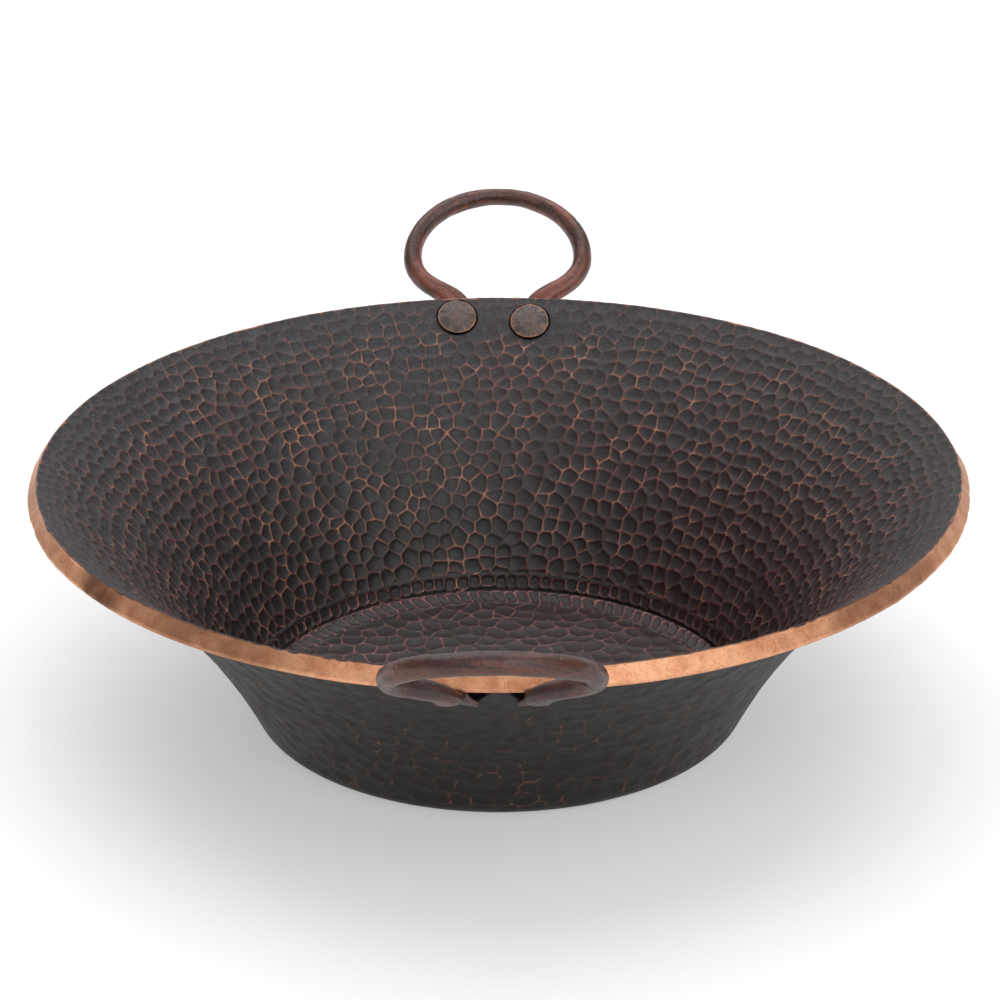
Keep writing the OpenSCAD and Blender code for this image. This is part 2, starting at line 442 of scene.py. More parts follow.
def bowl_rings():
    """Rings of the bowl from the middle of the floor up the inside, over the lip and down to the underside.

    Each is [radius, height, normal outwards, normal upwards, zone, distance along its zone, points]."""
    rings = []

    def add(line, zone, columns):
        line = np.array(line)
        way = np.gradient(line, axis=0)
        way /= np.linalg.norm(way, axis=1)[:, None]
        for (radius, height), (along_r, along_z), far in zip(line, way, distances(line)):
            rings.append([radius, height, -along_z, along_r, zone, far, columns(radius)])

    def by_radius(full):
        def columns(radius):
            count = full
            while count > 32 and 2 * math.pi * radius / count < 0.42:
                count //= 2
            return count
        return columns

    crease_r, crease_z = wall_at(WALL_LENGTH - CREASE_UP)
    turned = crease_z - FLOOR_T
    floor = [
        [r, FLOOR_T + turned * max(0.0, 1 - (crease_r - r) / FLOOR_TURN) ** 1.5]
        for r in np.linspace(1.2, crease_r, 190)
    ]
    add(floor, FLOOR, by_radius(COLUMNS // 2))
    wall = [wall_at(d) for d in np.linspace(WALL_LENGTH - CREASE_UP, 0, 240)]
    add(wall[1:], WALL, lambda r: COLUMNS)
    face, under = lip_lines()
    add(resample(face, 0.42)[1:], FACE, lambda r: COLUMNS)
    add(resample(under, 0.42)[1:], UNDER, lambda r: COLUMNS)
    corner = corner_line()
    outer = [wall_at(d, WALL_T) for d in np.linspace(LIP_ROOT, WALL_LENGTH, 125)[1:]]
    outer = [point for point in outer if point[1] > corner[0][1] + 0.4] + corner
    add(outer, OUTER, lambda r: COLUMNS // 2)
    base = [[r, 0.0] for r in np.linspace(outer[-1][0], 1.5, 75)][1:]
    add(base, BASE, by_radius(COLUMNS // 4))
    middle_of_floor = [0.0, FLOOR_T, 0.0, 1.0, FLOOR, 0.0, 1]
    middle_of_base = [0.0, 0.0, 0.0, -1.0, BASE, 0.0, 1]
    return [middle_of_floor, *rings, middle_of_base]


def head_gap(points):
    """Distance from each point to the nearest rivet's middle on the inner face."""
    return np.min([np.linalg.norm(points - wall_frame(*spot)[0], axis=1) for spot in RIVETS.values()], axis=0)


def hammered_amount(points):
    """How fully the wall is hammered: not under a rivet's head, and less on the patch beside it."""
    amount = smooth(head_gap(points), 9.0, 11.5)
    for x, down, side in RIVETS.values():
        beside = wall_frame(x + 12 * side, down + 3, side)[0]
        gap = np.linalg.norm((points - beside) * [0.7, 1, 1], axis=1)
        amount = np.minimum(amount, 0.45 + 0.55 * smooth(gap, 5, 13))
    return amount


def foot_shadow(points, down):
    """Painted shadow in the hollow under the lip beside each foot of a handle, narrowing to a point down the
    wall.
    """
    aside = np.abs(points[:, 0])
    inner = 3.8 + 6.4 * np.clip((down - 35) / 15, 0, 1)
    outer = 20.0 - 9.0 * np.clip((down - 20) / 30, 0, 1)
    between = smooth(aside, inner - 1.0, inner + 0.8) * smooth(aside, outer + 1.2, outer - 0.8)
    return between * smooth(down, 51, 48.5)


def lip_wobble(points):
    """How far the lip's nose strays from a true circle."""
    return 0.35 * noise(points, 26, 4)


class Skin:
    """The bowl's points, how far each is moved, and the masks that its looks are made from."""

    def __init__(self, rings):
        self.counts = [ring[6] for ring in rings]
        self.starts = np.cumsum([0] + self.counts[:-1])
        table = np.repeat(np.array([ring[:6] for ring in rings]), self.counts, axis=0)
        self.radius, self.height, normal_out, normal_up, self.zone, self.along = table.T
        self.theta = np.concatenate([np.arange(n) / n * 2 * math.pi for n in self.counts])
        count = len(self.theta)
        self.away = np.column_stack([np.cos(self.theta), np.sin(self.theta), np.zeros(count)])
        self.points = self.away * self.radius[:, None] + UP * self.height[:, None]
        self.normal = self.away * normal_out[:, None] + UP * normal_up[:, None]
        self.lift = np.zeros(count)
        self.shift = np.zeros((count, 3))
        self.ridge = np.full(count, FAR_RIDGE)
        self.wear = np.ones(count)
        self.bare, self.groove, self.tone, self.stain_and_shade = np.zeros((4, count))


def beat_wall(skin):
    """Marks and punched ring of the inner wall. Gives how far the marks cut into the lip's face."""
    inner = (skin.zone == WALL) | (skin.zone == FACE)
    wall = skin.zone[inner] == WALL
    theta, along, here = skin.theta[inner], skin.along[inner], skin.points[inner]
    wall_height = WALL_LENGTH - CREASE_UP
    down = np.where(wall, wall_height * (1 - along / along[wall].max()), 0.0)
    up_wall = wall_height - down

    blows = Blows(9973, 3)
    warp = 1.3 * noise(here, 23)
    # blows lie closer together towards the rim at the sides
    squeeze = 1 - 0.16 * smooth(down, 60, 5) * np.abs(np.cos(theta)) ** 2
    place = (down + warp) / squeeze
    mark, to_ridge, deep = blows.strike(
        lambda: ring_candidates(blows, theta, place, radius_at_down, BLOW_ALONG, BLOW_AROUND),
        HAMMER_R, BLOW_AROUND,
    )
    top = BLOW_AROUND ** 2 / 8 / HAMMER_R
    hammered = hammered_amount(here)
    strength = hammered * (0.5 + 0.5 * smooth(down, 4, 30)) * (1 + 0.25 * noise(here, 31, 5))
    dished = (top * 1.1 - np.minimum(mark, top * 1.1)) * 0.9 + 0.2 * smooth(to_ridge, 0.0, 1.5)
    beaten = -dished * strength + 0.04 * noise(here, 2.4) * hammered + 0.25 * noise(here, 40, 9)
    to_ridge = to_ridge + 2.2 * (1 - smooth(hammered, 0.1, 0.7))

    # Punched ring just above the crease
    punched, punch_edge = punch_marks(theta, up_wall - PUNCH_UP, PUNCH_UP_LONG, 0.0)
    in_ring = smooth(up_wall, RING_UP + 0.6, RING_UP - 0.5)
    beaten = beaten * (1 - in_ring) + punched * in_ring
    to_ridge = np.where(up_wall < RING_UP, np.clip(punch_edge, 0.0, FAR_RIDGE), to_ridge)
    crease = smooth(up_wall, 0.9, 0.1)
    beaten = beaten * (1 - crease) - 0.45 * crease

    # The marks run on a little way over the lip's upper edge
    face_fade = np.where(wall, 1.0, np.exp(-along / 0.7))
    at_edge = UP * math.cos(EDGE_SLOPE) - skin.away[inner] * math.sin(EDGE_SLOPE)
    skin.shift[inner] = np.where(
        wall[:, None], skin.normal[inner] * beaten[:, None], at_edge * (beaten * face_fade)[:, None]
    )

    # Rubbed bright along the top; painted shade in the crease, stronger on the right side, and round the
    # rivets' heads
    worn = (0.35 + 0.65 * smooth(down, 3, 32)) * (1 - 0.25 * smooth(up_wall, 60, 10)) + 0.8 * in_ring
    at_top = smooth(down + 0.4 * noise(here, 6, 12), 0.9, 0.3)
    shade_round_head = smooth(head_gap(here), 10.3, 9.3)
    crease_shade = 0.35 + 0.65 * smooth(here[:, 0] + 12 * noise(here, 14, 20), 0, 60)
    skin.wear[inner] = np.maximum(worn, at_top)
    skin.ridge[inner] = np.where(wall, to_ridge * (1 - at_top), FAR_RIDGE)
    skin.groove[inner] = np.where(wall, np.maximum(crease_shade * smooth(up_wall, 0.8, 0.1), shade_round_head), 0)
    skin.tone[inner] = np.where(wall, deep, 0)
    return np.clip(-beaten[~wall] - 0.12, 0, 1) * 3.2


def beat_lip(skin, cut):
    """The lip's bare face: planished flats, and a dark scallop where a blow runs over its upper edge."""
    lip = skin.zone == FACE
    theta, along, here = skin.theta[lip], skin.along[lip], skin.points[lip]
    flats = Blows(7919, 5, depth_spread=0.5)
    mark, _, deep = flats.strike(
        lambda: ring_candidates(flats, theta, along, lambda far: EDGE_R + 0.5 * far, LIP_ALONG, LIP_AROUND),
        FLAT_R, LIP_DISH,
    )
    worn_in = smooth(along, 0.0, 1.4)
    skin.lift[lip] = (np.minimum(mark, 0.25) * 0.9 - 0.16 + 0.10 * noise(here, 14, 2)) * worn_in
    skin.shift[lip] += skin.away[lip] * (lip_wobble(here) * worn_in)[:, None]
    skin.bare[lip] = smooth(along - cut * smooth(-noise(here, 17, 3), -0.5, 0.6), -0.15, 0.35)
    skin.tone[lip] = deep
    # browner stretches, partly real tarnish and partly painted shade
    stain_and_shade = np.zeros(len(here))
    for azimuth, reach, amount in BROWN_AND_SHADED_STRETCHES:
        off = np.abs(np.degrees(wrap(theta - math.radians(azimuth)))) + 3 * noise(here, 12, 6)
        stain_and_shade = np.maximum(stain_and_shade, amount * smooth(off, reach, 0.25 * reach))
    skin.stain_and_shade[lip] = stain_and_shade


def beat_under(skin):
    """The lip's underside, which follows the wobble of its nose and fades into the dark wall."""
    under = skin.zone == UNDER
    along, here = skin.along[under], skin.points[under]
    fade = smooth(along, along.max(), along.max() * 0.3)
    skin.shift[under] = skin.away[under] * (lip_wobble(here) * fade)[:, None]
    skin.bare[under] = smooth(along + 0.5 * noise(here, 5), 2.0, 1.0)


def beat_outside(skin):
    """Outer wall: shallow flats from the stake that the bowl was beaten on."""
    outer = skin.zone == OUTER
    theta, along = skin.theta[outer], skin.along[outer]
    here, height = skin.points[outer], skin.height[outer]
    stake = Blows(8017, 8, depth_spread=0.6)
    wander = 1.1 * noise(here, 5.5) + 0.5 * noise(here, 2.3, 4)
    mark, to_ridge, deep = stake.strike(
        lambda: ring_candidates(
            stake, theta + wander / 140, along + wander, radius_at_down, STAKE_ALONG, STAKE_AROUND
        ),
        STAKE_R, STAKE_DISH, rounding=0.2,
    )
    lift = (np.minimum(mark, 0.45) - 0.3) * 0.5 * smooth(along, 0, 4)
    lift += 0.22 * noise(here, 34, 6) + 0.05 * noise(here * [1, 1, 2.5], 4, 2)
    skin.lift[outer] = lift * smooth(height, 3, 13)
    # the ridges are rubbed most on the lower half
    skin.wear[outer] = 0.2 + 0.8 * smooth(height, 90, 45) * smooth(height, 1, 8)
    # painted shadow beside the handles' feet
    skin.groove[outer] = foot_shadow(here, along + LIP_ROOT)
    skin.ridge[outer] = to_ridge
    skin.tone[outer] = deep


def beat_floor(skin, broad):
    """Floor: broad flat blows, the second punched ring and the crease."""
    floor = skin.zone == FLOOR
    here = skin.points[floor]
    x, y = here[:, 0] + 1.5 * noise(here, 19), here[:, 1]
    mark, to_ridge, deep = broad.strike(
        lambda: flat_candidates(broad, x, y, FLOOR_PITCH), FLOOR_HAMMER_R, FLOOR_DISH
    )
    top = FLOOR_DISH ** 2 / 8 / FLOOR_HAMMER_R
    dished = (top * 1.2 - np.minimum(mark, top * 1.2)) * 0.8 + 0.12 * smooth(to_ridge, 0.0, 2.4)
    beaten = -dished + 0.18 * noise(here, 33, 8)
    inward = skin.radius[floor].max() - skin.radius[floor]
    punched, punch_edge = punch_marks(skin.theta[floor], inward - PUNCH_IN, PUNCH_IN_LONG, 0.09)
    in_ring = smooth(inward, RING_IN + 0.5, RING_IN - 0.5)
    beaten = beaten * (1 - in_ring) + punched * in_ring
    skin.lift[floor] = beaten - 0.4 * smooth(inward, 0.9, 0.1)
    skin.wear[floor] = 1 + 1.2 * in_ring
    skin.ridge[floor] = np.where(inward < RING_IN, np.clip(punch_edge, 0.0, FAR_RIDGE), to_ridge)
    # painted shade along the floor's side of the crease
    skin.groove[floor] = 0.5 * smooth(inward, 0.5, 0.1)
    skin.tone[floor] = deep


def beat_base(skin, broad):
    """Underside: flat, lightly beaten, worn along the ring it stands on."""
    base = skin.zone == BASE
    x, y = skin.points[base, 0], skin.points[base, 1]
    # blows from another part of the sheet than the floor's
    mark, to_ridge, deep = broad.strike(
        lambda: flat_candidates(broad, x + 400, y, BASE_PITCH), FLAT_R, BASE_PITCH
    )
    stands = smooth(skin.radius[base], 70, 90)
    skin.lift[base] = -(0.2 * (1 - stands) + 0.5 * np.clip(0.25 - mark, 0, 0.25) * (1 - 0.5 * stands))
    skin.ridge[base] = to_ridge
    skin.tone[base] = deep


def build_bowl():
    """The beaten bowl, with its marks in the mesh and masks for what is rubbed or bare, for painted shade,
    and for brown stretches that are partly painted shade.
    """
    skin = Skin(bowl_rings())
    cut = beat_wall(skin)
    beat_lip(skin, cut)
    beat_under(skin)
    beat_outside(skin)
    broad = Blows(4001, 13, depth_spread=0.5)
    beat_floor(skin, broad)
    beat_base(skin, broad)

    points = skin.points + skin.normal * skin.lift[:, None] + skin.shift
    # nothing hangs below the plane that the bowl stands on
    points[:, 2] = np.maximum(points[:, 2], 0.0)
    zone = skin.zone
    masks = {name: getattr(skin, name) for name in ("bare", "groove", "tone", "wear", "stain_and_shade")}
    masks["ridge"] = np.clip(skin.ridge, 0, FAR_RIDGE)
    masks["outside"] = np.isin(zone, (OUTER, BASE, UNDER)).astype(float)
    masks["rust"] = smooth(points[:, 0] + 40 * noise(points, 60, 15), -70, 150)
    masks["low"] = np.where(zone == FLOOR, 1.3, np.where(zone == WALL, 1 - points[:, 2] / HEIGHT, 0.5))
    quads, triangles = join_rings(skin.starts, skin.counts)
    return make_object("bowl_shell", points, quads[:, ::-1], triangles[:, ::-1], masks)


# ---- handles

def unit(v):
    return v / np.linalg.norm(v)


def bezier(a, b, c, d, t):
    t = np.asarray(t)[:, None]
    return a * (1 - t) ** 3 + 3 * b * t * (1 - t) ** 2 + 3 * c * t * t * (1 - t) + d * t ** 3


def half_loop(side, shift, x, down):
    """Half a handle, from the middle of its grip to the tip of its foot.

    Each row is [x, y, z, width, thickness, flatness, foot], where foot is 1 on the foot."""
    loop_out = np.array([0, math.cos(LOOP_RISE), math.sin(LOOP_RISE)])
    widest = np.array([shift + side * LOOP_W / 2, RIM_R + LOOP_REACH, HEIGHT - LIP_DROP + LOOP_LIFT])
    neck = np.array([shift + side * NECK_X, RIM_R + NECK_OUT, HEIGHT - LIP_DROP + 0.2])
    neck_way = unit(np.array([side * 0.32, 0.60, 0.74]))
    origin, down_way, _, out_way = wall_frame(x, down, 1)
    pad = origin + out_way * (WALL_T + PAD_T / 2)
    # the foot's tip points down and towards the middle
    inward = unit(np.array([-side, 0, 0]) + side * out_way * out_way[0])
    rows = []

    g = np.linspace(0, math.pi / 2, 60)
    loop = np.array([shift, widest[1], widest[2]]) + np.outer(np.sin(g), [side * LOOP_W / 2, 0, 0])
    loop = loop + np.outer(np.cos(g) * LOOP_L, loop_out)
    rows += [[*p, GRIP_W + (ROD_W - GRIP_W) * s, ROD_H, 0, 0] for p, s in zip(loop, np.sin(g))]

    t = np.linspace(0, 1, 50)[1:]
    leg = bezier(widest, widest - loop_out * 18, neck + neck_way * 9, neck, t)
    rows += [
        [*p, ROD_W + (LEG_W - ROD_W) * k ** 3, ROD_H + (NECK_H - ROD_H) * k ** 2, 0.3 * k, 0]
        for p, k in zip(leg, t)
    ]

    t = np.linspace(0, 1, 26)[1:]
    leg = bezier(neck, neck - neck_way * 5.5, pad + np.array([0, 5.5, 0]), pad, t)
    rows += [
        [*p, LEG_W + (FOOT_W - LEG_W) * k, NECK_H + (PAD_T - NECK_H) * k, 0.3 * (1 - k), k ** 2]
        for p, k in zip(leg, t)
    ]

    for k in np.linspace(0, 1, 32)[1:]:
        off = TIP_OFF * (1 - (1 - k) ** 2.5)
        centre = pad + down_way * TIP_DOWN * k + inward * TIP_IN * k ** 1.6 + out_way * off
        taper = max(0.1, 1 - k)
        rows.append([*centre, FOOT_W * taper ** 0.6, (PAD_T - 1.2 * k) * taper ** 0.2, 0, 1])
    return np.array(rows)


def soften(rows, reach):
    """Rows averaged with their neighbours, so that the line has no kinks."""
    kernel = np.hanning(2 * reach + 3)[1:-1]
    kernel /= kernel.sum()
    padded = np.concatenate([np.repeat(rows[:1], reach, 0), rows, np.repeat(rows[-1:], reach, 0)])
    return np.column_stack([np.convolve(column, kernel, "valid") for column in padded.T])


def clear_of_wall(points, x, down):
    """A foot's points moved out of the wall, and pressed to a flat seat round the rivet's end."""
    origin, down_way, side_way, out_way = wall_frame(x, down, 1)

    def aside(places):
        return np.hypot((places - origin) @ down_way, (places - origin) @ side_way)

    near = aside(points) < 24
    radial = np.hypot(points[:, 0], points[:, 1])
    outside = ARC_R - np.hypot(radial - ARC_MIDDLE[0], points[:, 2] - ARC_MIDDLE[1])
    short = np.where(near & (radial < EDGE_R - 0.5), np.clip(WALL_T + 0.05 - outside, 0, 4), 0)
    points = points + out_way * short[:, None]
    allowed = WALL_T + PAD_T + np.maximum(0, aside(points) - SINK_D / 2 - 0.4) * 1.3
    over = np.maximum(0, (points - origin) @ out_way - allowed)
    return points - out_way * np.where(near, over, 0)[:, None]


def build_handle(name, shift, left, right, front, seed):
    """A forged rod bent to a loop, with both ends flattened to feet that lie on the wall under the lip."""
    halves = [half_loop(-1, shift, *left), half_loop(1, shift, *right)]
    rows = np.concatenate([halves[0][::-1], halves[1][1:]])
    far = distances(rows[:, :3])
    rows = respace(rows, far, round(far[-1] / HANDLE_STEP))
    rows[1:-1] = soften(rows, 5)[1:-1]
    rings = len(rows)

    centre, (width, thick, flat, foot) = rows[:, :3], rows[:, 3:].T
    along = np.gradient(centre, axis=0)
    along /= np.linalg.norm(along, axis=1)[:, None]
    loop_up = np.array([0, -math.sin(LOOP_RISE), math.cos(LOOP_RISE)])
    guide = np.empty_like(centre)
    for part, (x, down) in ((slice(0, rings // 2), left), (slice(rings // 2, None), right)):
        _, _, _, out_way = wall_frame(x, down, 1)
        guide[part] = loop_up * (1 - foot[part, None]) - out_way * foot[part, None]
    up = guide - along * (guide * along).sum(1)[:, None]
    up /= np.linalg.norm(up, axis=1)[:, None]
    across = np.cross(along, up)

    # The rod's section is round, or rather squarer where it is flat
    g = np.arange(HANDLE_SIDES) / HANDLE_SIDES * 2 * math.pi
    power = (2 / (2 + 2.4 * flat))[:, None]
    c = np.sign(np.cos(g)) * np.abs(np.cos(g)) ** power
    s = np.sign(np.sin(g)) * np.abs(np.sin(g)) ** power
    arms = (
        across[:, None] * (c * width[:, None] / 2)[..., None]
        + up[:, None] * (s * thick[:, None] / 2)[..., None]
    )
    points = (centre[:, None] + arms).reshape(-1, 3)
    outward = arms.reshape(-1, 3)
    outward /= np.linalg.norm(outward, axis=1)[:, None] + 1e-9

    # Forging: slow swells, hammered flats and small scale pits
    lumps = 0.20 * noise(points, 15, seed) + 0.13 * noise(points, 6, seed + 3)
    lumps += 0.05 * noise(points, 2.2, seed)
    flats = -0.22 * smooth(noise(points, 8.5, seed + 7), 0.25, 0.7)
    pits = -0.16 * smooth(noise(points, 1.7, seed + 5), 0.55, 0.8)
    points = points + outward * (lumps + flats + pits)[:, None]
    for x, down in (left, right):
        points = clear_of_wall(points, x, down)

    if front:
        points = points * [-1, -1, 1]
    points, quads, triangles = close_tube(points, rings, HANDLE_SIDES)
    run = np.linspace(0, far[-1], rings)
    masks = {
        "run": np.r_[0, np.repeat(run, HANDLE_SIDES), run[-1]] + RUN_APART * seed,
        "side": np.r_[0, np.tile(np.cos(g), rings), 0],
        "top": np.r_[0, np.tile(np.sin(g), rings), 0],
    }
    return make_object(name, points, quads[:, ::-1], triangles[:, ::-1], masks)


# ---- rivets

def rivet_line():
    """A rivet's outline: radius, depth along its shank, and how fully the head's flats shape it."""
    crown_r = HEAD_D / 2 - HEAD_ROUND
    line = []
    for r in np.linspace(0.25, crown_r, 36):
        line.append([r, -2.15 + 1.15 * (r / crown_r) ** 2.4, (r / crown_r) ** 3])
    for a in np.linspace(0.2, 2.4, 9):
        line.append([crown_r + HEAD_ROUND * math.sin(a), -1.0 + 0.42 * (1 - math.cos(a)), 1])
    line += [[8.3, -0.1, 1], [7.9, 0.25, 1], [3.4, 0.3, 0], [SHANK_D / 2, 0.6, 0], [SHANK_D / 2, 6.6, 0]]
    line.append([SINK_D / 2 - 0.1, 7.95, 0])
    line += [[r, 8.12 + 0.10 * (1 - (r / 4.0) ** 2), 0] for r in np.linspace(4.0, 0.3, 10)]
    return np.array(line)


def build_rivet(name, x, down, side, seed):
    """A rivet: a hammered head bedded on the inner face, its shank, and its end beaten flush outside."""
    draw = np.random.RandomState(seed)
    g = np.arange(RIVET_SIDES) / RIVET_SIDES * 2 * math.pi
    line = rivet_line()
    line_r, line_depth, shaped = line[:, :1], line[:, 1:2], line[:, 2:]

    # The outline is a polygon of unequal sides
    corners = np.arange(HEAD_FLATS) + draw.uniform(-0.3, 0.3, HEAD_FLATS)
    corners = np.sort(corners / HEAD_FLATS * 2 * math.pi)
    reach = draw.uniform(0.975, 1.01, HEAD_FLATS)
    outline = np.interp(
        g, np.r_[corners, corners[0] + 2 * math.pi], np.r_[reach, reach[0]], period=2 * math.pi
    )
    which = np.searchsorted(corners, g) % HEAD_FLATS
    low, high = corners[(which - 1) % HEAD_FLATS], corners[which]
    half = wrap(high - low) / 2
    off_middle = wrap(g - (low + half))
    outline = outline * np.cos(half) / np.cos(off_middle) * 1.008

    radius = line_r * (1 + (outline - 1) * shaped)
    u, v = radius * np.cos(g), radius * np.sin(g)
    depth = np.repeat(line_depth, RIVET_SIDES, 1)

    # Radial flats of the hammer round the head's edge, and a few across its middle
    on_head = line_depth < 0.2
    flats = draw.uniform(0.0, 0.34, HEAD_FLATS)[which]
    radial = smooth(line_r, 3.5, 8.0) * (line_depth < -0.5)
    depth = depth + radial * flats * (0.7 + 0.3 * np.cos(off_middle / np.abs(half) * 1.4))
    spots = Blows(997, seed, depth_spread=0.5)
    mark, to_ridge, _ = spots.strike(
        lambda: flat_candidates(spots, u.ravel() + 50, v.ravel() + 50, HEAD_PITCH),
        HEAD_HAMMER_R, HEAD_PITCH, rounding=0.2,
    )
    mark = np.minimum(mark, 0.3).reshape(u.shape)
    depth = depth + on_head * (0.22 - mark) * 0.45 * smooth(line_r, 8.6, 7.0)
    depth = depth + (line_depth > 7.0) * (mark - 0.2) * 0.35

    origin, down_way, side_way, out_way = wall_frame(x, down, side)
    points = origin + u[..., None] * down_way + v[..., None] * side_way + depth[..., None] * out_way
    points, quads, triangles = close_tube(points.reshape(-1, 3), len(line), RIVET_SIDES)
    edge = np.clip(1 - np.abs(radius - 8.75) / 0.7, 0, 1) * (depth < -0.2)
    to_seam = np.minimum(np.abs(wrap(g - low)), np.abs(wrap(high - g))) * radius
    seam = smooth(to_seam, 0.35, 0.0) * (radius > 5.2) * on_head
    facet = draw.uniform(-1, 1, HEAD_FLATS)[which] * smooth(radius, 4.6, 6.6) * on_head
    masks = {
        "facet": np.r_[0, facet.ravel(), 0],
        "edge": np.r_[0, edge.ravel(), 0],
        "seam": np.r_[0, seam.ravel(), 0],
        "ridge": np.r_[FAR_RIDGE, np.clip(to_ridge, 0, FAR_RIDGE), FAR_RIDGE],
    }
    return make_object(name, points, quads, triangles, masks)


# ---- materials

def srgb(red, green, blue):
    """A colour given as 0 to 255 screen values, as the linear colour that the nodes take."""
    def linear(value):
        value /= 255
        return value / 12.92 if value <= 0.04045 else ((value + 0.055) / 1.055) ** 2.4
    return (linear(red), linear(green), linear(blue), 1.0)


class Nodes:
    """A node tree, with short ways to add the nodes that it is made of."""

    def __init__(self, tree):
        self.tree = tree

    def add(self, kind):
        return self.tree.nodes.new(kind)

    def feed(self, socket, value):
        if isinstance(value, bpy.types.NodeSocket):
            self.tree.links.new(value, socket)
        elif value is not None:
            socket.default_value = value

    def mask(self, name):
        node = self.add("ShaderNodeAttribute")
        node.attribute_name = name
        return node.outputs["Fac"]

    def math(self, kind, a, b=None, clamp=False):
        node = self.add("ShaderNodeMath")
        node.operation = kind
        node.use_clamp = clamp
        self.feed(node.inputs[0], a)
        self.feed(node.inputs[1], b)
        return node.outputs[0]

    def times(self, a, b, clamp=False):
        return self.math("MULTIPLY", a, b, clamp)

    def span(self, value, low, high, out_low=0.0, out_high=1.0):
        """value between low and high, smoothly turned to between out_low and out_high."""
        node = self.add("ShaderNodeMapRange")
        node.interpolation_type = "SMOOTHSTEP"
        sockets = ("Value", "From Min", "From Max", "To Min", "To Max")
        for socket, item in zip(sockets, (value, low, high, out_low, out_high)):
            self.feed(node.inputs[socket], item)
        return node.outputs["Result"]

    def blend(self, amount, a, b, kind="RGBA", sockets=(0, 6, 7), out=2):
        """A colour between a and b."""
        node = self.add("ShaderNodeMix")
        node.data_type = kind
        for socket, item in zip(sockets, (amount, a, b)):
            self.feed(node.inputs[socket], item)
        return node.outputs[out]

    def number(self, amount, a, b):
        """A number between a and b."""
        return self.blend(amount, a, b, "FLOAT", (0, 2, 3), 0)

    def vector(self, x, y, z):
        node = self.add("ShaderNodeCombineXYZ")
        for socket, value in zip(node.inputs, (x, y, z)):
            self.feed(socket, value)
        return node.outputs[0]


class Finish(Nodes):
    """A material with one surface."""

    def __init__(self, name):
        self.material = bpy.data.materials.new(name)
        self.material.use_nodes = True
        self.material.node_tree.nodes.clear()
        super().__init__(self.material.node_tree)
        self.surface = self.add("ShaderNodeBsdfPrincipled")
        out = self.add("ShaderNodeOutputMaterial")
        self.tree.links.new(self.surface.outputs[0], out.inputs["Surface"])
        self.place = self.add("ShaderNodeTexCoord").outputs["Object"]

    def give(self, name, value):
        """Sets or feeds one of the surface's own inputs."""
        self.feed(self.surface.inputs[name], value)

    def noise(self, size, detail=3.0, rough=0.55, place=None):
        """Noise from 0 to 1 with lumps about size millimetres across."""
        node = self.add("ShaderNodeTexNoise")
        self.feed(node.inputs["Vector"], place or self.place)
        node.inputs["Scale"].default_value = 1 / (size * MM)
        node.inputs["Detail"].default_value = detail
        node.inputs["Roughness"].default_value = rough
        return node.outputs["Fac"]

    def stretched(self, scale):
        node = self.add("ShaderNodeMapping")
        node.inputs["Scale"].default_value = scale
        self.feed(node.inputs["Vector"], self.place)
        return node.outputs[0]

    def coats(self, colour, *layers):
        """A colour under others. A layer is how much it covers, and its colour in screen values."""
        for amount, tint in layers:
            colour = self.blend(amount, colour, srgb(*tint))
        return colour

    def bump(self, height, depth):
        """Relief of depth millimetres from a height of 0 to 1."""
        node = self.add("ShaderNodeBump")
        node.inputs["Strength"].default_value = 1.0
        node.inputs["Distance"].default_value = depth * MM
        self.feed(node.inputs["Height"], height)
        self.give("Normal", node.outputs[0])


